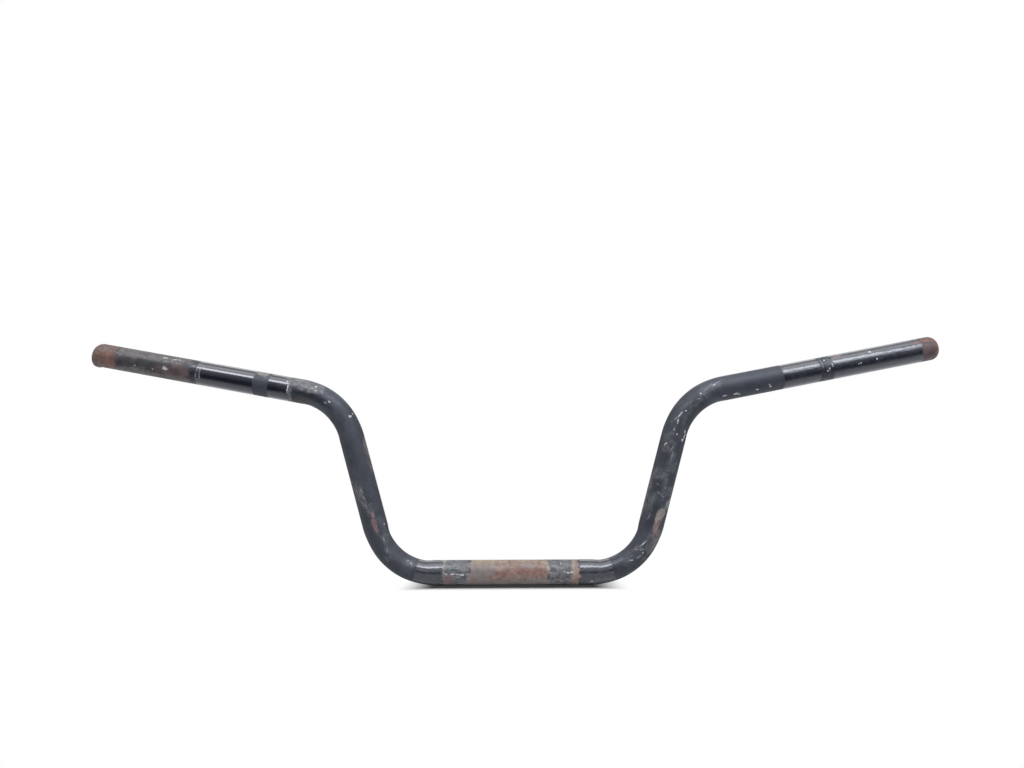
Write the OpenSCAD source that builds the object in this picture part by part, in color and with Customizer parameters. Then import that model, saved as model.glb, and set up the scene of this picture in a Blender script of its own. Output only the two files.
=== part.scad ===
// Quad bike handlebar: one length of round steel tube with four bends and turned-in tips.
// The origin is the middle of the clamp section, on the tube's centre line. X runs along
// the clamp section, the risers climb towards +Z and the grips sweep back towards +Y.

/* [Tube] */
// Outside diameter of the tube
tube_d = 22.2; // [19:0.1:28.6]
// Thickness of the tube's wall
wall_t = 2.3; // [1.2:0.1:3.5]
// How far the tube's radius draws in where it is bent
bend_draw = 0.02; // [0.01:0.01:0.1]

/* [Clamp section] */
// Straight length between the lower bends, where the stem clamps hold the bar
clamp_straight = 142; // [80:1:240]

/* [Risers] */
// Centre-line radius of the two lower bends
lower_bend_r = 53; // [40:0.5:90]
// Angle of each riser above the clamp section
riser_angle = 74.5; // [45:0.5:88]
// Straight length of each riser between its bends
riser_straight = 85.5; // [20:0.5:160]

/* [Grips] */
// Centre-line radius of the two upper bends
upper_bend_r = 57.5; // [40:0.5:90]
// Angle at which each grip rises towards its tip
grip_rise = 11; // [0:0.5:20]
// Angle at which each grip sweeps back
grip_sweep = 9; // [0:0.5:25]
// Straight length of each grip, up to its turned-in tip
grip_straight = 207.5; // [140:0.5:280]

/* [Tips] */
// Radius of the round that turns each tip in
tip_round = 8.5; // [4:0.5:9]
// Diameter of the hole that stays open in the middle of each tip
tip_hole_d = 8; // [2:0.5:11]

/* [Hidden] */
$fn = 96;
tube_r = tube_d / 2;
bore_r = tube_r - wall_t;
tip_flat_r = tube_r - tip_round;
// The straights reach this far into the bends, so that the drawn-in surfaces start inside them
bend_lap = 0.1;

// Headings of the riser and the grip on the +X side, as unit vectors
riser_dir = [cos(riser_angle), 0, sin(riser_angle)];
grip_dir = [cos(grip_rise) * cos(grip_sweep), cos(grip_rise) * sin(grip_sweep), sin(grip_rise)];
// Square to the riser, in the plane of the lower bends
riser_up = [-sin(riser_angle), 0, cos(riser_angle)];

// Before the upper bend the tube is rolled on its own axis, so that one bend gives rise and sweep
upper_roll = atan2(-grip_dir.y, grip_dir * riser_up);
upper_angle = acos(riser_dir * grip_dir);

// Straight stretch of radius r along X, and what follows it
module straight(r, length) {
    translate([-bend_lap, 0, 0]) rotate([0, 90, 0]) cylinder(r = r, h = length + 2 * bend_lap);
    translate([length, 0, 0]) children();
}

// Bend of a tube of radius r from X towards Z, and what follows it
module bend(r, bend_r, angle) {
    translate([0, 0, bend_r]) rotate([90, 0, 0])
        rotate_extrude(angle = angle, start = -90)
            translate([bend_r, 0]) circle(r = r - bend_draw);
    translate([bend_r * sin(angle), 0, bend_r * (1 - cos(angle))])
        rotate([0, -angle, 0]) children();
}

// Straight grip of radius r with a tip that a round of radius round_r closes in, and what the tip holds
module grip(r, round_r) {
    rotate([0, 90, 0]) rotate_extrude() {
        translate([0, -bend_lap]) square([r, grip_straight + bend_lap]);
        translate([0, grip_straight]) square([tip_flat_r, round_r]);
        translate([tip_flat_r, grip_straight]) intersection() {
            circle(r = round_r);
            square(round_r);
        }
    }
    translate([grip_straight, 0, 0]) children();
}

// Hole through the middle of the tip, along the grip
module tip_hole() {
    rotate([0, 90, 0]) cylinder(d = tip_hole_d, h = tube_r);
}

// The bar as a solid rod of radius r, with tips of radius round_r and what they hold
module rod(r, round_r) {
    rotate([0, 90, 0]) cylinder(r = r, h = clamp_straight + 2 * bend_lap, center = true);
    for (side = [0, 1]) mirror([side, 0, 0])
        translate([clamp_straight / 2, 0, 0])
            bend(r, lower_bend_r, riser_angle)
                straight(r, riser_straight)
                    rotate([upper_roll, 0, 0])
                        bend(r, upper_bend_r, upper_angle)
                            grip(r, round_r) children();
}

module handlebar() {
    color("#1d1e22") difference() {
        rod(tube_r, tip_round);
        rod(bore_r, tip_round - wall_t) tip_hole();
    }
}

handlebar();
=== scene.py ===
import math

import bpy
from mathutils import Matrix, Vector


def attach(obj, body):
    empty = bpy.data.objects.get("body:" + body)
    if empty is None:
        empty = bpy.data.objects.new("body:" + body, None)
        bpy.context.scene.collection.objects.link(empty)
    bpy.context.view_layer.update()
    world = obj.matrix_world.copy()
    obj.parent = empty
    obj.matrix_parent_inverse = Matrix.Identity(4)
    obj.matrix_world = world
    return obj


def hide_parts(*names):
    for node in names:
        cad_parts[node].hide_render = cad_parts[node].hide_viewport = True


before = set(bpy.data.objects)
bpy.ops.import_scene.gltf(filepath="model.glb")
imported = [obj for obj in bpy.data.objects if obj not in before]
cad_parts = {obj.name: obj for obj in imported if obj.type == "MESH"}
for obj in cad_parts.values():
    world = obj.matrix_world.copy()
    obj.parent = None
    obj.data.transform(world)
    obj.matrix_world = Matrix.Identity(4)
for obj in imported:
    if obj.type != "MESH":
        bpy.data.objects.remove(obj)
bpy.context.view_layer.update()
mm = 0.001


def linear(hexColour):
    # sRGB hex to the linear colour that Blender works in, by the sRGB standard's curve
    parts = [int(hexColour[i:i + 2], 16) / 255 for i in (1, 3, 5)]
    return [c / 12.92 if c <= 0.04045 else ((c + 0.055) / 1.055) ** 2.4 for c in parts] + [1.0]


def addNode(tree, kind, inputs=None, **settings):
    # one node with its settings, and what its inputs are fed with; in a Map Range, inputs 1 and 2 are the
    # range that it reads, and 3 and 4 the range that it gives
    made = tree.nodes.new(kind)
    for name, value in settings.items():
        setattr(made, name, value)
    for socket, value in (inputs or {}).items():
        value = value.outputs[0] if isinstance(value, bpy.types.Node) else value
        if isinstance(value, bpy.types.NodeSocket):
            tree.links.new(value, made.inputs[socket])
        else:
            made.inputs[socket].default_value = value
    return made


camera = {
    "place": (12.16 * mm, -853.8 * mm, 76.2 * mm),
    "turn": (96.118, 0.346, 0.863),
    "lens": 33.4,
    "sensorWidth": 36,
    "nearest": 0.01,
    "farthest": 50,
}


def setUpCamera():
    data = bpy.data.cameras.new("studioCamera")
    data.sensor_width = camera["sensorWidth"]
    data.lens = camera["lens"]
    data.clip_start = camera["nearest"]
    data.clip_end = camera["farthest"]
    placed = bpy.data.objects.new("studioCamera", data)
    placed.location = camera["place"]
    placed.rotation_euler = [math.radians(a) for a in camera["turn"]]
    bpy.context.scene.collection.objects.link(placed)
    bpy.context.scene.camera = placed


setUpCamera()
print("camera placed")

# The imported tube's sizes, in mm and degrees, and then what only the visual tube has: how finely it is cut,
# and by what share of its radius it is flattened in its bends
tube = {
    "outsideRadius": 11.1,
    "wall": 2.3,
    "clampHalf": 71,
    "lowerBendRadius": 53,
    "riserAngle": 74.5,
    "riserStraight": 85.5,
    "upperBendRadius": 57.5,
    "gripRise": 11,
    "gripSweep": 9,
    "gripStraight": 207.5,
    "tipRound": 8.5,
    "holeRadius": 4,
    "holeBevel": 0.35,
    "facetsRound": 72,
    "outerLipRings": 12,
    "innerLipRings": 5,
    "ringSpacing": 1.25,
    "boreSpacing": 5,
    "markMargin": 0.9,
    "markCuts": 2,
    "curveSteps": 64,
    "smoothBelow": 40,
    "lowerFlattening": 0.07,
    "upperFlattening": 0.03,
    "widening": 0.35,
    "flatteningRun": 10,
}
# Places closer together than this, in mm, count as one
near = 0.01

# How the tips differ from true rounds, in mm, with the -X side's value first. The round is measured from 0
# at its start to 1 at the tube's end.
tips = {
    "foot": (2.2, 0.6),
    "shoulder": (0.9, 0),
    "pushedIn": (0.9, 0),
    "pushedFrom": 0.4,
    "swellPower": 1.5,
    "swellGain": 4,
    "burr": 0.55,
    "burrPlace": 1,
    "burrRun": 0.9,
    "burrPower": 4,
    "wornRun": 4,
    "lipKept": 0.6,
    "skin": 0.3,
}


def heading(rise, sweep):
    rise, sweep = math.radians(rise), math.radians(sweep)
    return Vector((math.cos(rise) * math.cos(sweep), math.cos(rise) * math.sin(sweep), math.sin(rise)))


riserHeading = heading(tube["riserAngle"], 0)
gripHeading = heading(tube["gripRise"], tube["gripSweep"])
lowerAngle = math.radians(tube["riserAngle"])
upperAngle = riserHeading.angle(gripHeading)
tipLength = tube["gripStraight"] + tube["tipRound"]
tipFlat = tube["outsideRadius"] - tube["tipRound"]
lowerArc = tube["lowerBendRadius"] * lowerAngle
upperArc = tube["upperBendRadius"] * upperAngle
lowerBendEnd = tube["clampHalf"] + lowerArc
upperBendStart = lowerBendEnd + tube["riserStraight"]
gripStart = upperBendStart + upperArc
halfLength = gripStart + tipLength


def deselectAll():
    if bpy.context.mode != "OBJECT":
        bpy.ops.object.mode_set(mode="OBJECT")
    bpy.ops.object.select_all(action="DESELECT")


def selectEdges(piece, wanted):
    # picks edges by where they are, and leaves edit mode ready for the next operator
    bpy.ops.mesh.select_mode(type="EDGE")
    bpy.ops.mesh.select_all(action="DESELECT")
    bpy.ops.object.mode_set(mode="OBJECT")
    points = piece.data.vertices
    for edge in piece.data.edges:
        edge.select = wanted(*(points[i].co for i in edge.vertices))
    bpy.ops.object.mode_set(mode="EDIT")


def tipSection(radius, rings):
    # half section of a turned-in tip, from the hole's edge out to the straight, as (x, radius) in mm
    start = math.asin((tube["holeRadius"] - tipFlat) / radius)
    turns = [start + (math.pi / 2 - start) * i / rings for i in range(rings + 1)]
    return [(tube["tipRound"] - radius * math.cos(a), tipFlat + radius * math.sin(a)) for a in turns]


def straightTube():
    # the tube before it is bent: its centre line lies on X, and its -X tip ends at the origin
    bpy.ops.mesh.primitive_circle_add(vertices=tube["facetsRound"], radius=tube["holeRadius"] * mm,
                                      location=(0, 0, 0), rotation=(0, math.radians(90), 0))
    piece = bpy.context.object
    piece.name = "bentTube"
    bpy.ops.object.transform_apply(location=True, rotation=True, scale=True)
    length = 2 * halfLength
    outer = tipSection(tube["tipRound"], tube["outerLipRings"])
    inner = tipSection(tube["tipRound"] - tube["wall"], tube["innerLipRings"])
    rings = outer + [(length - x, r) for x, r in reversed(outer)]
    rings += [(length - x, r) for x, r in inner] + list(reversed(inner)) + [outer[0]]
    bpy.ops.object.mode_set(mode="EDIT")
    bpy.ops.mesh.select_all(action="SELECT")
    bpy.ops.transform.translate(value=(rings[0][0] * mm, 0, 0))
    for (xWas, rWas), (x, r) in zip(rings, rings[1:]):
        bpy.ops.mesh.extrude_region_move(TRANSFORM_OT_translate={"value": ((x - xWas) * mm, 0, 0)})
        bpy.ops.transform.resize(value=(1, r / rWas, r / rWas), center_override=(x * mm, 0, 0))
    bpy.ops.mesh.select_all(action="SELECT")
    bpy.ops.mesh.remove_doubles(threshold=near * mm)
    bpy.ops.mesh.normals_make_consistent(inside=False)
    # the long stretch outside and the one inside are each cut into rings twice, coarse and then fine
    stretch = length - 2 * tube["tipRound"]
    for radius, spacing in ((tube["outsideRadius"], tube["ringSpacing"]),
                            (tube["outsideRadius"] - tube["wall"], tube["boreSpacing"])):
        cuts = round(math.sqrt(stretch / spacing))
        for shortest in (0.5 * stretch, 0.5 * stretch / cuts):
            selectEdges(piece, lambda a, b: abs(a.x - b.x) > shortest * mm
                        and abs(a.yz.length - radius * mm) < 10 * near * mm)
            bpy.ops.mesh.subdivide(number_cuts=cuts - 1)
    # the outer edge of each hole is broken by a small bevel
    selectEdges(piece, lambda a, b: abs(a.x - b.x) < near * mm
                and abs(a.yz.length - tube["holeRadius"] * mm) < near * mm
                and min(a.x, length * mm - a.x) < (outer[0][0] + near) * mm)
    bpy.ops.mesh.bevel(offset=tube["holeBevel"] * mm, segments=2, affect="EDGES")
    bpy.ops.object.mode_set(mode="OBJECT")
    return piece


def smooth(low, high, value):
    part = min(1, max(0, (value - low) / (high - low)))
    return part * part * (3 - 2 * part)


def flattening(along):
    # bending flattens the tube a little, most in the tight lower bends, and a little way into the straights
    run = tube["flatteningRun"]
    total = 0
    for start, end, amount in ((tube["clampHalf"], lowerBendEnd, tube["lowerFlattening"]),
                               (upperBendStart, gripStart, tube["upperFlattening"])):
        rises = smooth(start - run / 3, start + run, abs(along))
        total += amount * rises * (1 - smooth(end - run, end + run / 3, abs(along)))
    return total


def refineMarks(piece):
    # the mesh is cut finer round the chips and the thin scratches, so that they keep their shape
    deselectAll()
    piece.select_set(True)
    bpy.context.view_layer.objects.active = piece
    outside = tube["outsideRadius"]
    marks = [(along, math.radians(turn) * outside, max(halfLong, halfWide) + tube["markMargin"])
             for along, turn, halfLong, halfWide, lean
             in wear["pale"]["patches"] + wear["scratch"]["patches"]]
    for face in piece.data.polygons:
        x, y, z = (c / mm for c in face.center)
        along, width = x - halfLength, math.atan2(-y, z) * outside
        face.select = math.hypot(y, z) > outside - tube["wall"] / 2 and any(
            abs(along - middle) < reach and abs(width - turn) < reach for middle, turn, reach in marks)
    bpy.ops.object.mode_set(mode="EDIT")
    bpy.ops.mesh.select_mode(type="FACE")
    bpy.ops.mesh.subdivide(number_cuts=tube["markCuts"])
    bpy.ops.object.mode_set(mode="OBJECT")
    # the new points lie on flat faces, and are brought out to the round
    for point in piece.data.vertices:
        reach = math.hypot(point.co.y, point.co.z) / mm
        onStraight = tube["tipRound"] < point.co.x / mm < 2 * halfLength - tube["tipRound"]
        if onStraight and abs(reach - outside) < tube["wall"] / 2:
            point.co.y *= outside / reach
            point.co.z *= outside / reach


def wearTips(piece):
    # the tip on the -X side has a square foot with a small burr on it and a flat shoulder, and the other
    # a slightly squarer foot
    start = halfLength - tube["tipRound"]
    for point in piece.data.vertices:
        along = point.co.x / mm - halfLength
        side = int(along > 0)
        into = max(0, (abs(along) - start) / tube["tipRound"])
        reach = math.hypot(point.co.y, point.co.z) / mm
        pushed = tips["pushedIn"][side] * smooth(tips["pushedFrom"], 1, into)
        point.co.x -= math.copysign(pushed, along) * mm
        outer = tipFlat + tube["tipRound"] * math.sqrt(max(0, 1 - into ** 2))
        least = max(tube["holeRadius"] + tips["lipKept"], outer - tips["skin"])
        if abs(along) < start - tips["wornRun"] or reach < least:
            continue
        foot = max(0, -point.co.z / mm / reach)
        shoulder = max(0, point.co.z / mm / reach)
        swell = tips["swellGain"] * into ** tips["swellPower"] * (1 - into)
        change = swell * (tips["foot"][side] * foot - tips["shoulder"][side] * shoulder)
        if along < 0:
            away = (along + start + tips["burrPlace"]) / tips["burrRun"]
            change += tips["burr"] * foot ** tips["burrPower"] * math.exp(-away ** 2)
        point.co.y *= 1 + change / reach
        point.co.z *= 1 + change / reach


def storeStraightPlace(piece):
    # every point remembers where it lay on the straight tube, in mm from the middle, and is then flattened
    place = piece.data.attributes.new("straightTube", "FLOAT_VECTOR", "POINT")
    for point, kept in zip(piece.data.vertices, place.data):
        kept.vector = (point.co.x / mm - halfLength, point.co.y / mm, point.co.z / mm)
    for point in piece.data.vertices:
        flat = flattening(point.co.x / mm - halfLength)
        point.co.z *= 1 - flat
        point.co.y *= 1 + tube["widening"] * flat


# Where the finish changes. A band is (from, to) in mm along the tube from its middle, and a patch is
# (along, round, half its length, half its width, lean): mm along, degrees round from the top towards
# the front, mm, mm, and degrees that it leans over. Each name is that of a coat further down.
wear = {
    "gloss": {
        "bands": [(-394, -336.7), (-321.6, -302.3), (-86, -61.5), (58.3, 88), (346.5, 382.5), (396, 486)],
        "patches": [],
    },
    "haze": {
        "bands": [(-402, -389), (-88, -61), (58.3, 99), (346.5, 492)],
        "patches": [(-285, 98, 21, 4, 0)],
    },
    "matte": {
        "bands": [(-336.7, -321.6), (286, 346.5)],
        "patches": [],
    },
    "grime": {
        "bands": [(-480, -396), (482, 502)],
        "patches": [(-300, 130, 4, 9, 0), (-286, 135, 14, 6, 0), (-158, 122, 9, 4, 0),
                    (128, 122, 13, 5, 0)],
    },
    "scuff": {
        "bands": [(-302, -297), (31, 53), (-61, -38)],
        "patches": [(-286, 50, 15, 8.5, 0), (-50, 62, 11, 5, 0)],
    },
    # smudges and scuff marks, but the two patches low on the clamp section's sides, at about 150 degrees,
    # are a painted reflection of the floor
    "smudgeAndReflection": {
        "bands": [],
        "patches": [(-175.5, 111, 10, 3, -26), (-160, 95, 7, 3, -10), (-123, 68, 9, 2, 18),
                    (-113, 108, 3.5, 2.6, 0), (-138, 38, 9, 3, 0), (-94, 57, 5, 3, 0),
                    (105, 91, 6, 3, 20), (122, 79, 9, 3, 22), (129, 112, 13, 4, 0), (161, 52, 8, 4, 30),
                    (187, 52, 4.6, 9, 10), (182, 97, 10, 2.6, 0), (192, 106, 8, 3, 35),
                    (203, 96, 11, 2.4, 0), (174.5, 140, 4.4, 6, 0), (216, 72, 8, 2.2, 32),
                    (240, 72, 9, 1.8, 0), (246, 100, 18, 2, 0), (269, 76, 5, 4.2, 0),
                    (280, 68, 10, 3.6, -22), (160, 128, 10, 3, 25), (222, 60, 8, 3, 30),
                    (-75, 150, 13, 4, 0), (76, 148, 18, 4, 0), (389, 58, 4, 4, 0)],
    },
    # lighter tops and undersides: partly a real dust film, partly painted sheen, that is a painted highlight
    # along the tops and a painted reflection of the floor along the undersides
    "filmAndSheen": {
        "bands": [],
        "patches": [(-442, 34, 44, 7.6, 0), (-452, 152, 36, 5.5, 0), (-412, 152, 14, 5, 0),
                    (-212, 18, 14, 4, 0), (165, 14, 20, 4, 0), (128, 128, 14, 4, 0),
                    (-300, 32, 8, 4, 0), (-172, 124, 14, 3, -20), (-329.5, 26, 8, 5.5, 0)],
    },
    "chalk": {
        "bands": [(-252, -98), (102, 270)],
        "patches": [],
    },
    "dark": {
        "bands": [],
        "patches": [(143, 70, 8, 4, 12), (-64.5, 100, 3, 6, 0), (-429, 104, 4.5, 3.5, 0),
                    (-417, 102, 3.5, 3, 0), (86.5, 122, 1.6, 4.5, 20), (-396.5, 104, 3.6, 3.5, 0),
                    (387, 84, 3, 5, 0), (40, 76, 9, 1.8, 0), (64.5, 77, 5, 3, 0), (79, 86, 7, 2, 0),
                    (177, 64, 8, 5, -15), (206, 66, 12, 5, 5), (157, 80, 7, 5, -25),
                    (118, 58, 9, 4, 10), (232, 88, 9, 2, 0)],
    },
    "rust": {
        "bands": [(-38.5, 30.5), (51.5, 57.8)],
        "patches": [(-34.5, 122, 4.5, 6.5, 0)],
    },
    "primer": {
        "bands": [],
        "patches": [(-57.3, 118, 5, 5, 0), (-143, 84, 10, 2.6, -3), (144, 112, 8, 3, 0),
                    (401.5, 38, 3.6, 1.6, 0)],
    },
    "tipRust": {
        "bands": [(-511, -478), (497.5, 511)],
        "patches": [(493, 44, 11, 4, 0)],
    },
    # grey rust in patches, and the long grey patch along the underside of the rust band is a painted
    # reflection of the floor
    "greyRustAndReflection": {
        "bands": [],
        "patches": [(-28, 86, 10, 7, 0), (-19, 82, 3.4, 7, 0), (-5, 140, 42, 5.5, 0),
                    (-36, 60, 4, 5, 0), (12, 58, 5, 3, 0)],
    },
    "oliveRust": {
        "bands": [],
        "patches": [(-28, 26, 11, 4.5, 0), (-12, 22, 9, 3, 0), (8, 20, 12, 2.6, 0), (28, 30, 4, 4, 0)],
    },
    "redRust": {
        "bands": [],
        "patches": [(22, 84, 6, 4.5, 0), (-8, 92, 9, 3, 0), (8, 80, 9, 3.5, 8), (-487, 84, 6, 3.4, 0),
                    (-481, 128, 6, 5, 0), (491, 50, 9, 2.6, 0), (501, 75, 3, 9, 0), (501, 125, 3, 7, 0)],
    },
    "stain": {
        "bands": [],
        "patches": [(-411, 106, 10.5, 8, 0), (-425, 112, 10, 4, 0), (495, 104, 9, 14, 0)],
    },
    "dust": {
        "bands": [],
        "patches": [(153.5, 116, 7, 3.4, 28), (165, 150, 8, 2.6, 15), (30.4, 33, 1, 5, 0),
                    (53.4, 46, 1.1, 7, 0), (-61, 52, 1, 9, 0), (-330, 26, 7, 4, 0)],
    },
    "scratch": {
        "bands": [],
        "patches": [(-393, 84, 0.45, 6, 4), (-389.6, 92, 0.45, 5.5, -3), (-398, 62, 3, 0.4, 0),
                    (385, 62, 0.4, 5, 0), (392.5, 58, 0.5, 2.4, 0), (397, 66, 1.2, 0.4, 30),
                    (186, 97, 4.5, 0.4, 0), (195.5, 99, 3, 0.4, 0), (206, 97, 3, 0.4, 0),
                    (212, 88, 2.8, 0.4, 20), (178, 76, 0.5, 5, 12), (118, 85, 3.4, 0.4, 50),
                    (124, 98, 3.2, 0.4, -30), (112, 102, 3, 0.4, 20), (108, 74, 3, 0.4, 15),
                    (255, 92, 4.4, 0.4, 10), (262, 84, 3.4, 0.4, 22), (275, 62, 5, 0.45, -20),
                    (284, 55, 4.2, 0.45, -14), (170, 92, 0.45, 3, 25), (152, 66, 3.6, 0.4, 12),
                    (-178, 106, 3.6, 0.4, -26), (-169, 100, 3.4, 0.4, -20), (-162, 92, 0.4, 2.6, 0),
                    (-127, 66, 3.6, 0.4, 18), (-119, 74, 2.6, 0.4, 30), (-113, 108, 2.4, 0.4, 40),
                    (238, 60, 3.2, 0.4, 35)],
    },
    "pale": {
        "bands": [],
        "patches": [(-428, 45, 2.2, 0.8, 0), (-418, 45, 1.8, 0.7, 0), (-413.5, 42, 1.4, 0.5, 0),
                    (-426, 96, 1.7, 0.7, -62), (-424.6, 100, 1.9, 0.8, -46),
                    (-422.9, 103, 1.7, 0.6, -18), (-455.5, 112, 0.8, 0.6, 0), (-437, 114, 0.8, 0.5, 0),
                    (-301.9, 84, 0.5, 4.8, 0), (-304, 55, 0.8, 0.8, 0), (-278, 47, 1.1, 0.9, 0),
                    (-280, 62, 0.9, 0.5, 0), (-276, 68, 0.9, 0.5, 0), (-260.5, 78, 1, 0.7, 0),
                    (-263, 94, 0.9, 0.5, 0), (-240.5, 45, 0.9, 1.3, 0), (-242, 22, 0.6, 0.7, 0),
                    (-142, 35, 0.8, 0.6, 0), (-93, 55, 0.8, 0.6, 0), (-91.3, 60, 0.6, 0.5, 0),
                    (-96, 51, 0.6, 0.5, 0), (-59, 92.5, 1.6, 0.45, 0), (-53, 92, 1.6, 0.7, 0),
                    (-48.6, 92, 1.2, 0.4, 0), (-44.6, 95, 1.9, 0.7, 0), (-40.6, 93, 0.7, 0.4, 0),
                    (33, 85, 0.5, 0.5, 0), (36, 88, 0.6, 0.4, 0), (41.5, 40, 0.5, 1.1, 0),
                    (45, 83, 1, 0.4, 10), (48, 88, 1.6, 0.6, 10), (51.2, 86, 1.1, 0.9, 0),
                    (42, 128, 0.4, 0.8, 0), (68.5, 130, 1.2, 0.55, 15), (106, 91, 1.4, 0.4, 40),
                    (124, 80, 3.5, 0.35, 20), (117, 104, 0.7, 0.6, 0), (215, 55, 1.8, 0.45, 40),
                    (228.5, 75, 0.9, 0.5, 0), (236, 75, 1.6, 0.45, -20), (242, 68.5, 2.6, 0.45, 0),
                    (225, 95, 0.9, 0.5, 0), (247, 80, 1, 0.4, 30), (221.5, 130, 1.2, 1.2, 0),
                    (225, 137, 2.2, 0.7, 0), (230, 131, 1.6, 0.9, -20), (228, 148, 0.7, 1.2, 0),
                    (288, 129, 2, 0.6, 0), (299, 131, 2.4, 0.9, 0), (302.5, 136, 1, 0.6, 0),
                    (319.5, 130, 1.4, 0.6, 0), (331.3, 117, 0.5, 0.9, 0), (332.5, 127, 1.2, 0.7, 0),
                    (267, 70, 0.8, 0.8, 0), (281, 62, 1.2, 0.4, -20), (389, 105, 0.7, 0.7, 0),
                    (391, 95, 0.5, 1.2, 0), (394.5, 80, 0.5, 1.8, 0), (388.5, 48, 0.8, 0.5, 0),
                    (434, 51, 1.6, 1, 0), (438.5, 93, 0.7, 0.6, 0), (422, 97, 0.6, 0.5, 0),
                    (420, 100, 0.4, 0.4, 0)],
    },
}
# Distances from an edge are kept up to this many mm, which is further than a pattern ever moves an edge
edgeReach = 8


def edgeDistance(along, turn, bands, patches):
    # how far a point lies inside the nearest band or patch, in mm, and negative outside them all
    inside = -edgeReach
    for start, end in bands:
        inside = max(inside, min(along - start, end - along))
    for middle, angle, halfLong, halfWide, lean in patches:
        dx = along - middle
        if abs(dx) > halfLong + halfWide + edgeReach:
            continue
        dw = math.radians((turn - angle + 180) % 360 - 180) * tube["outsideRadius"]
        c, s = math.cos(math.radians(lean)), math.sin(math.radians(lean))
        far = math.hypot((dx * c + dw * s) / halfLong, (dw * c - dx * s) / halfWide)
        inside = max(inside, (1 - far) * min(halfLong, halfWide))
    return min(inside, edgeReach)


def markWear(piece):
    places = [tuple(kept.vector) for kept in piece.data.attributes["straightTube"].data]
    turns = [math.degrees(math.atan2(-y, z)) for x, y, z in places]
    for name, marks in wear.items():
        kept = piece.data.attributes.new(name, "FLOAT", "POINT")
        for place, turn, item in zip(places, turns, kept.data):
            item.value = edgeDistance(place[0], turn, marks["bands"], marks["patches"])


def centreLine():
    # the bent centre line, as a Bezier curve whose handles give true arcs to 0.01 mm
    ahead = Vector((1, 0, 0))
    lowerReach = tube["lowerBendRadius"] * math.tan(lowerAngle / 2)
    upperReach = tube["upperBendRadius"] * math.tan(upperAngle / 2)
    side = [Vector((tube["clampHalf"], 0, 0))]
    side.append(side[-1] + lowerReach * (ahead + riserHeading))
    side.append(side[-1] + tube["riserStraight"] * riserHeading)
    side.append(side[-1] + upperReach * (riserHeading + gripHeading))
    side.append(side[-1] + tipLength * gripHeading)
    headings = [ahead, riserHeading, riserHeading, gripHeading, gripHeading]
    lowerHandle = 4 / 3 * math.tan(lowerAngle / 4) * tube["lowerBendRadius"]
    upperHandle = 4 / 3 * math.tan(upperAngle / 4) * tube["upperBendRadius"]
    handles = [tube["clampHalf"] * 2 / 3, lowerHandle, tube["riserStraight"] / 3, upperHandle,
               tipLength / 3, tipLength / 3]
    data = bpy.data.curves.new("centreLine", "CURVE")
    data.dimensions = "3D"
    data.twist_mode = "Z_UP"
    data.resolution_u = tube["curveSteps"]
    spline = data.splines.new("BEZIER")
    spline.bezier_points.add(2 * len(side) - 1)
    same, mirrored = Vector((1, 1, 1)), Vector((-1, 1, 1))
    for i, (place, way) in enumerate(zip(side, headings)):
        before, after = handles[i], handles[i + 1]
        right = spline.bezier_points[len(side) + i]
        left = spline.bezier_points[len(side) - 1 - i]
        for knot, back, front, flip in ((right, -before, after, same), (left, after, -before, mirrored)):
            knot.handle_left_type = knot.handle_right_type = "FREE"
            knot.co = place * flip * mm
            knot.handle_left = (place + back * way) * flip * mm
            knot.handle_right = (place + front * way) * flip * mm
    curve = bpy.data.objects.new("centreLine", data)
    bpy.context.scene.collection.objects.link(curve)
    return curve


def bendTube(piece):
    curve = centreLine()
    deselectAll()
    piece.select_set(True)
    bpy.context.view_layer.objects.active = piece
    bend = piece.modifiers.new("bends", "CURVE")
    bend.object = curve
    bend.deform_axis = "POS_X"
    bpy.ops.object.modifier_apply(modifier=bend.name)
    bpy.data.objects.remove(curve)
    bpy.ops.object.shade_smooth_by_angle(angle=math.radians(tube["smoothBelow"]))


deselectAll()
bentTube = straightTube()
refineMarks(bentTube)
storeStraightPlace(bentTube)
markWear(bentTube)
wearTips(bentTube)
print("straight tube:", len(bentTube.data.polygons), "faces")
bendTube(bentTube)
print("tube bent")

# Patterns on the straight tube: grain in mm, detail, roughness, and how far each is drawn out along
# the tube or round it. Real dust and hairline scratches are finer than 0.8 mm, and wouldn't show.
patterns = {
    "clouds": (8, 7, 0.66, (1.4, 1, 1)),
    "mottle": (3, 6, 0.62, (1.3, 1, 1)),
    "specks": (0.8, 4, 0.65, (1, 1, 1)),
    "ripples": (1.8, 3, 0.5, (2, 1, 1)),
    "streaks": (0.9, 5, 0.6, (12, 1, 1)),
    "turns": (0.8, 4, 0.6, (1, 12, 12)),
}

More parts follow.
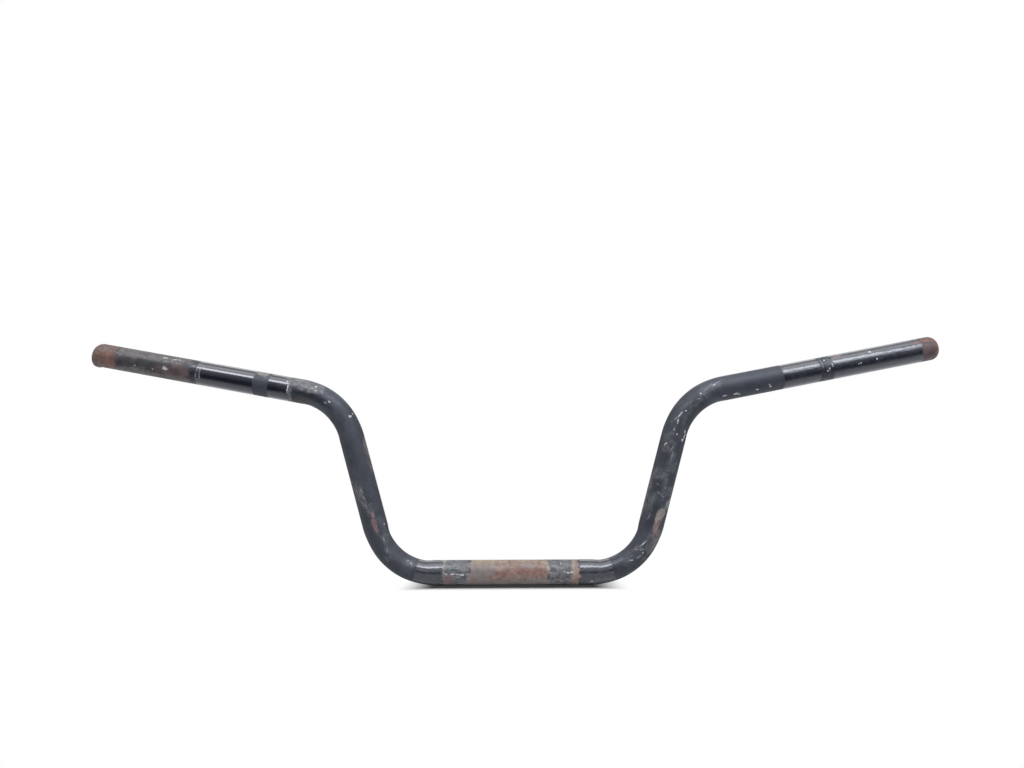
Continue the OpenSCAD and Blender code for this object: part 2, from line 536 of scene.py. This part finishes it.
# The coats from the oldest to the newest: the marks that bound it, the pattern that breaks its edge, how
# many mm it does that by and how many the edge is soft, how much it covers, its darker and lighter tone,
# the pattern that mixes them and the range it does that over, and its roughness
coats = [
    ("grime", "clouds", 4, 2, 0.95, "#262425", "#423f3e", "clouds", 0.38, 0.64, 0.5),
    ("chalk", "clouds", 8, 5, 0.85, "#282a30", "#34363d", "clouds", 0.38, 0.62, 0.66),
    ("matte", "mottle", 0.8, 1.2, 1, "#2a2d35", "#32353d", "clouds", 0.35, 0.65, 0.52),
    ("gloss", "mottle", 1.2, 2, 1, "#080a15", "#0b0d19", "clouds", 0.4, 0.6, 0.15),
    ("haze", "clouds", 7, 5, 0.75, "#151720", "#2a2c35", "mottle", 0.42, 0.62, 0.28),
    ("dark", "clouds", 9, 5, 0.7, "#15171d", "#1e2028", "mottle", 0.4, 0.6, 0.35),
    # the film's lighter tones stand partly for dust and partly for painted sheen and painted reflection
    ("filmAndSheen", "clouds", 7, 3, 0.8, "#474342", "#686160", "mottle", 0.38, 0.62, 0.5),
    # its grey also lightens the two low patches by the clamp section as painted reflection
    ("smudgeAndReflection", "clouds", 8, 4, 0.5, "#393a3d", "#555659", "mottle", 0.4, 0.6, 0.5),
    ("scuff", "clouds", 5, 1.6, 0.85, "#3b3c3e", "#6a6867", "mottle", 0.38, 0.62, 0.42),
    ("stain", "clouds", 4, 4, 0.75, "#483938", "#604e4b", "clouds", 0.38, 0.62, 0.5),
    ("rust", "clouds", 7, 0.8, 1, "#66524a", "#877266", "mottle", 0.36, 0.64, 0.5),
    ("primer", "clouds", 5, 1.6, 0.9, "#594747", "#715b5b", "clouds", 0.38, 0.62, 0.5),
    ("tipRust", "clouds", 9, 2.5, 1, "#4a3b34", "#6b554b", "mottle", 0.36, 0.64, 0.5),
    # grey rust tones, also used for the painted reflection along the rust's underside
    ("greyRustAndReflection", "clouds", 8, 3, 0.75, "#645e5a", "#787370", "clouds", 0.4, 0.6, 0.5),
    ("oliveRust", "clouds", 6, 3, 0.6, "#7e745e", "#978e75", "mottle", 0.4, 0.6, 0.5),
    ("redRust", "clouds", 7, 3, 0.65, "#623f35", "#795348", "mottle", 0.4, 0.6, 0.5),
    ("dust", "clouds", 4.5, 1.5, 0.6, "#7a736c", "#958d84", "mottle", 0.4, 0.6, 0.55),
    ("scratch", "mottle", 1.5, 0.5, 0.65, "#626366", "#88888a", "specks", 0.42, 0.6, 0.5),
    ("pale", "specks", 0.9, 0.25, 0.9, "#8b8a88", "#c9c9c7", "specks", 0.42, 0.6, 0.5),
]

# The satin paint under the coats, and the fine marks over them: their tones, how much they cover, and the
# two values of their pattern between which they come in. Depths are in mm.
paint = {
    "satinTones": ("#282c36", "#363a43"),
    "satinRange": (0.35, 0.65),
    "satinRoughness": (0.44, 0.56),
    "lineRange": (0.57, 0.66),
    "lineCover": 0.6,
    "ringRange": (0.6, 0.7),
    "ringCover": 0.5,
    "lineTone": "#9c9b9b",
    "speckRange": (0.67, 0.74),
    "speckCover": 0.35,
    "speckTone": "#8d8c8a",
    "pitRange": (0.4, 0.32),
    "pitCover": 0.5,
    "pitTone": "#352a27",
    "rustGrain": 0.16,
    "rippleDepth": 0.2,
    "chipDepth": 0.08,
    "specularLevel": 0.4,
    "glassRoughness": 0.14,
}


def wornPaint():
    # enamel on mild steel, brushed by years of use: deep black and glassy where clamps and grips
    # covered it, satin and scratched elsewhere, brown with rust where it is gone
    # a few lighter coats, on the tops and undersides and under the rust band, are painted sheen and painted
    # reflection
    material = bpy.data.materials.new("wornBlackEnamel")
    material.use_nodes = True
    tree = material.node_tree
    shader = tree.nodes["Principled BSDF"]
    straight = addNode(tree, "ShaderNodeAttribute", attribute_name="straightTube").outputs["Vector"]

    pattern = {}
    for name, (grain, detail, roughness, drawn) in patterns.items():
        place = addNode(tree, "ShaderNodeMapping", {"Vector": straight, "Scale": [1 / d for d in drawn]})
        pattern[name] = addNode(tree, "ShaderNodeTexNoise",
                                {"Vector": place, "Scale": 1 / grain, "Detail": detail,
                                 "Roughness": roughness})

    # satin paint is the ground, a little lighter in broad patches
    low, high = paint["satinRange"]
    smoothest, roughest = paint["satinRoughness"]
    dark, light = paint["satinTones"]
    tone = addNode(tree, "ShaderNodeMapRange", {0: pattern["clouds"], 1: low, 2: high})
    colour = addNode(tree, "ShaderNodeMix", {0: tone, 6: linear(dark), 7: linear(light)},
                     data_type="RGBA").outputs[2]
    rough = addNode(tree, "ShaderNodeMapRange",
                    {0: pattern["mottle"], 1: low, 2: high, 3: smoothest, 4: roughest})

    cover = {}
    for (name, edgeBy, ragged, soft, strength, dark, light, toneBy, low, high, roughness) in coats:
        # its strength inside the marked places and 0 outside, with an edge that the pattern breaks
        marked = addNode(tree, "ShaderNodeAttribute", attribute_name=name).outputs["Fac"]
        lifted = addNode(tree, "ShaderNodeMath", {0: pattern[edgeBy], 1: 2 * ragged, 2: -ragged},
                         operation="MULTIPLY_ADD")
        moved = addNode(tree, "ShaderNodeMath", {0: marked, 1: lifted}, operation="ADD")
        cover[name] = addNode(tree, "ShaderNodeMapRange",
                              {0: moved, 1: -soft / 2, 2: soft / 2, 4: strength},
                              interpolation_type="SMOOTHSTEP")
        tone = addNode(tree, "ShaderNodeMapRange", {0: pattern[toneBy], 1: low, 2: high})
        mixed = addNode(tree, "ShaderNodeMix", {0: tone, 6: linear(dark), 7: linear(light)},
                        data_type="RGBA").outputs[2]
        colour = addNode(tree, "ShaderNodeMix", {0: cover[name], 6: colour, 7: mixed},
                         data_type="RGBA").outputs[2]
        rough = addNode(tree, "ShaderNodeMix", {0: cover[name], 2: rough, 3: roughness})

    # fine scratches along the tube and rings round it, where it is scuffed or smudged, and on the patches of
    # painted reflection as well
    low, high = paint["lineRange"]
    lines = addNode(tree, "ShaderNodeMapRange",
                    {0: pattern["streaks"], 1: low, 2: high, 4: paint["lineCover"]})
    low, high = paint["ringRange"]
    rings = addNode(tree, "ShaderNodeMapRange",
                    {0: pattern["turns"], 1: low, 2: high, 4: paint["ringCover"]})
    both = addNode(tree, "ShaderNodeMath", {0: lines, 1: rings}, operation="MAXIMUM")
    worn = addNode(tree, "ShaderNodeMath", {0: cover["scuff"], 1: cover["smudgeAndReflection"]}, operation="MAXIMUM")
    scratched = addNode(tree, "ShaderNodeMath", {0: both, 1: worn}, operation="MULTIPLY")
    colour = addNode(tree, "ShaderNodeMix", {0: scratched, 6: colour, 7: linear(paint["lineTone"])},
                     data_type="RGBA").outputs[2]

    # specks of dust and worn-through paint all over the bar, but for its sound glossy bands
    low, high = paint["speckRange"]
    sparse = addNode(tree, "ShaderNodeMapRange",
                     {0: pattern["specks"], 1: low, 2: high, 4: paint["speckCover"]})
    dulled = addNode(tree, "ShaderNodeMath", {0: sparse, 1: cover["gloss"]}, operation="SUBTRACT",
                     use_clamp=True)
    colour = addNode(tree, "ShaderNodeMix", {0: dulled, 6: colour, 7: linear(paint["speckTone"])},
                     data_type="RGBA").outputs[2]

    # dark pits in the rust
    rusty = addNode(tree, "ShaderNodeMath", {0: cover["rust"], 1: cover["tipRust"]}, operation="MAXIMUM")
    low, high = paint["pitRange"]
    pits = addNode(tree, "ShaderNodeMapRange",
                   {0: pattern["specks"], 1: low, 2: high, 4: paint["pitCover"]})
    pitted = addNode(tree, "ShaderNodeMath", {0: pits, 1: rusty}, operation="MULTIPLY")
    colour = addNode(tree, "ShaderNodeMix", {0: pitted, 6: colour, 7: linear(paint["pitTone"])},
                     data_type="RGBA").outputs[2]

    # heights in mm: rust is grained, rust and chips lie a little lower than the paint, and the paint is
    # rippled where its gloss has gone hazy
    bare = addNode(tree, "ShaderNodeMath", {0: rusty, 1: cover["pale"]}, operation="MAXIMUM")
    grained = addNode(tree, "ShaderNodeMath", {0: rusty, 1: pattern["mottle"]}, operation="MULTIPLY")
    lift = addNode(tree, "ShaderNodeMath", {0: grained, 1: paint["rustGrain"]}, operation="MULTIPLY")
    ripple = addNode(tree, "ShaderNodeMath", {0: cover["haze"], 1: pattern["ripples"]},
                     operation="MULTIPLY")
    rippled = addNode(tree, "ShaderNodeMath", {0: ripple, 1: paint["rippleDepth"], 2: lift},
                      operation="MULTIPLY_ADD")
    height = addNode(tree, "ShaderNodeMath", {0: bare, 1: -paint["chipDepth"], 2: rippled},
                     operation="MULTIPLY_ADD")
    bump = addNode(tree, "ShaderNodeBump", {"Height": height, "Distance": mm, "Strength": 1.0})

    # only sound glossy paint has its clear, glassy skin left
    sound = addNode(tree, "ShaderNodeMath", {0: cover["gloss"], 1: bare}, operation="SUBTRACT",
                    use_clamp=True)
    tree.links.new(colour, shader.inputs["Base Color"])
    tree.links.new(rough.outputs[0], shader.inputs["Roughness"])
    tree.links.new(bump.outputs[0], shader.inputs["Normal"])
    tree.links.new(sound.outputs[0], shader.inputs["Coat Weight"])
    tree.links.new(bump.outputs[0], shader.inputs["Coat Normal"])
    shader.inputs["Specular IOR Level"].default_value = paint["specularLevel"]
    shader.inputs["Coat Roughness"].default_value = paint["glassRoughness"]
    return material


bentTube.data.materials.append(wornPaint())
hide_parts("handlebar")
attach(bentTube, "root")
print("paint and rust laid on")

# Lengths in metres. A pair is the value where something starts and the one where it is complete: the
# floor goes from the first shadowBright to the second as it lies more open to the sky, and the shadow fades
# out with the distance along X. roomAxis points to the middle of the dark room.
studio = {
    "floorSide": 12,
    "paper": "#d9d9d9",
    "paperEnd": (-0.03, -0.24),
    "shadowReach": 0.034,
    "shadowSamples": 24,
    "shadowOpen": (0.8, 0.975),
    "shadowBright": (0.045, 1.0),
    "shadowSides": (0.066, 0.102),
    "skyLight": 0.3,
    "darkRoom": 0.14,
    "darkRoomTone": "#dfe6f8",
    "roomAxis": (0, -0.966, -0.26),
    "roomEdge": (0.45, 0.92),
    "behindEdge": (0.3, 0.8),
    "behindLevel": 0.3,
    "mirroredTone": "#eff2fb",
}
# Places and sizes in metres, power in watts
lamps = {
    "frontWindow": {"place": (0, -1.1, 1.72), "aim": (0, 0, 0.1), "size": (3.0, 0.5), "power": 46,
                    "tone": "#eef4ff"},
    "topPanel": {"place": (0, -0.3, 1.9), "aim": (0, -0.3, 0), "size": (2.4, 1.05), "power": 14,
                 "tone": "#ffffff"},
    "sideWindow": {"place": (1.15, -1.15, 1.15), "aim": (0.35, 0, 0.2), "size": (1.2, 0.5), "power": 5.5,
                   "tone": "#eef4ff"},
    "lowPanel": {"place": (0, -1.47, 0.62), "aim": (0, 0, 0), "size": (0.9, 0.8), "power": 2.2,
                 "tone": "#eef4ff"},
    "rearLight": {"place": (0, 1.5, 1.5), "aim": (0, 0, 0), "size": (2.0, 0.8), "power": 6,
                  "tone": "#ffffff"},
}


def paleFloor():
    # white to the camera but for the shadow under the tube, and pale paper to the lamps
    deselectAll()
    bpy.ops.mesh.primitive_plane_add(size=studio["floorSide"], location=(0, 0, -tube["outsideRadius"] * mm))
    floor = bpy.context.object
    floor.name = "studioFloor"
    bpy.ops.object.transform_apply(location=True, rotation=True, scale=True)
    material = bpy.data.materials.new("paleStudioFloor")
    material.use_nodes = True
    tree = material.node_tree
    tree.nodes.clear()
    rays = addNode(tree, "ShaderNodeLightPath")
    place = addNode(tree, "ShaderNodeTexCoord").outputs["Object"]
    sides = addNode(tree, "ShaderNodeSeparateXYZ", {0: place})
    paper = addNode(tree, "ShaderNodeBsdfDiffuse", {"Color": linear(studio["paper"])})
    # what the camera sees: white, and the shadow where the tube comes down to the floor
    clear = addNode(tree, "ShaderNodeAmbientOcclusion", {"Distance": studio["shadowReach"]},
                    samples=studio["shadowSamples"])
    hidden, unhidden = studio["shadowOpen"]
    darkest, brightest = studio["shadowBright"]
    level = addNode(tree, "ShaderNodeMapRange",
                    {0: clear.outputs["AO"], 1: hidden, 2: unhidden, 3: darkest, 4: brightest},
                    interpolation_type="SMOOTHSTEP")
    aside = addNode(tree, "ShaderNodeMath", {0: sides.outputs["X"]}, operation="ABSOLUTE")
    start, end = studio["shadowSides"]
    fades = addNode(tree, "ShaderNodeMapRange", {0: aside, 1: start, 2: end},
                    interpolation_type="SMOOTHSTEP")
    bright = addNode(tree, "ShaderNodeMath", {0: level, 1: fades}, operation="MAXIMUM")
    white = addNode(tree, "ShaderNodeEmission", {"Strength": bright})
    # what the paint mirrors: the paper ends in front, in the darker room
    start, end = studio["paperEnd"]
    front = addNode(tree, "ShaderNodeMapRange", {0: sides.outputs["Y"], 1: start, 2: end},
                    interpolation_type="SMOOTHSTEP")
    ends = addNode(tree, "ShaderNodeMath", {0: front, 1: rays.outputs["Is Glossy Ray"]},
                   operation="MULTIPLY")
    room = addNode(tree, "ShaderNodeEmission",
                   {"Color": linear(studio["darkRoomTone"]), "Strength": studio["darkRoom"]})
    seen = addNode(tree, "ShaderNodeMixShader", {0: rays.outputs["Is Camera Ray"], 1: paper, 2: white})
    both = addNode(tree, "ShaderNodeMixShader", {0: ends, 1: seen, 2: room})
    addNode(tree, "ShaderNodeOutputMaterial", {"Surface": both})
    floor.data.materials.append(material)


def softLight(name, values):
    data = bpy.data.lights.new(name, "AREA")
    data.shape = "RECTANGLE"
    data.size, data.size_y = values["size"]
    data.energy = values["power"]
    data.color = linear(values["tone"])[:3]
    lamp = bpy.data.objects.new(name, data)
    lamp.location = values["place"]
    way = Vector(values["aim"]) - Vector(values["place"])
    lamp.rotation_euler = way.to_track_quat("-Z", "Y").to_euler()
    bpy.context.scene.collection.objects.link(lamp)


def paleWorld():
    # white all round to the camera and in reflections, but for the dark room in front of the object
    world = bpy.data.worlds.new("paleRoom")
    bpy.context.scene.world = world
    world.use_nodes = True
    tree = world.node_tree
    tree.nodes.clear()
    rays = addNode(tree, "ShaderNodeLightPath")
    way = addNode(tree, "ShaderNodeTexCoord").outputs["Generated"]
    facing = addNode(tree, "ShaderNodeVectorMath", {0: way, 1: studio["roomAxis"]}, operation="DOT_PRODUCT")
    start, end = studio["roomEdge"]
    level = addNode(tree, "ShaderNodeMapRange",
                    {0: facing.outputs["Value"], 1: start, 2: end, 3: 1.0, 4: studio["darkRoom"]},
                    interpolation_type="SMOOTHSTEP")
    # the room is dimmer behind too, where the tube's edges mirror it
    behind = addNode(tree, "ShaderNodeVectorMath", {0: way, 1: (0, 1, 0)}, operation="DOT_PRODUCT")
    start, end = studio["behindEdge"]
    dimmer = addNode(tree, "ShaderNodeMapRange",
                     {0: behind.outputs["Value"], 1: start, 2: end, 3: 1.0, 4: studio["behindLevel"]})
    level = addNode(tree, "ShaderNodeMath", {0: level, 1: dimmer}, operation="MULTIPLY")
    soft = addNode(tree, "ShaderNodeBackground",
                   {"Color": linear("#ffffff"), "Strength": studio["skyLight"]})
    mirrored = addNode(tree, "ShaderNodeBackground",
                       {"Color": linear(studio["mirroredTone"]), "Strength": level})
    white = addNode(tree, "ShaderNodeBackground", {"Color": linear("#ffffff"), "Strength": 1.0})
    seen = addNode(tree, "ShaderNodeMath", {0: rays.outputs["Is Camera Ray"],
                                            1: rays.outputs["Is Transmission Ray"]}, operation="MAXIMUM")
    shiny = addNode(tree, "ShaderNodeMixShader", {0: rays.outputs["Is Glossy Ray"], 1: soft, 2: mirrored})
    both = addNode(tree, "ShaderNodeMixShader", {0: seen, 1: shiny, 2: white})
    addNode(tree, "ShaderNodeOutputWorld", {"Surface": both})


paleFloor()
paleWorld()
for name, values in lamps.items():
    softLight(name, values)
bpy.context.scene.view_settings.view_transform = "Standard"
print("floor and lights set")
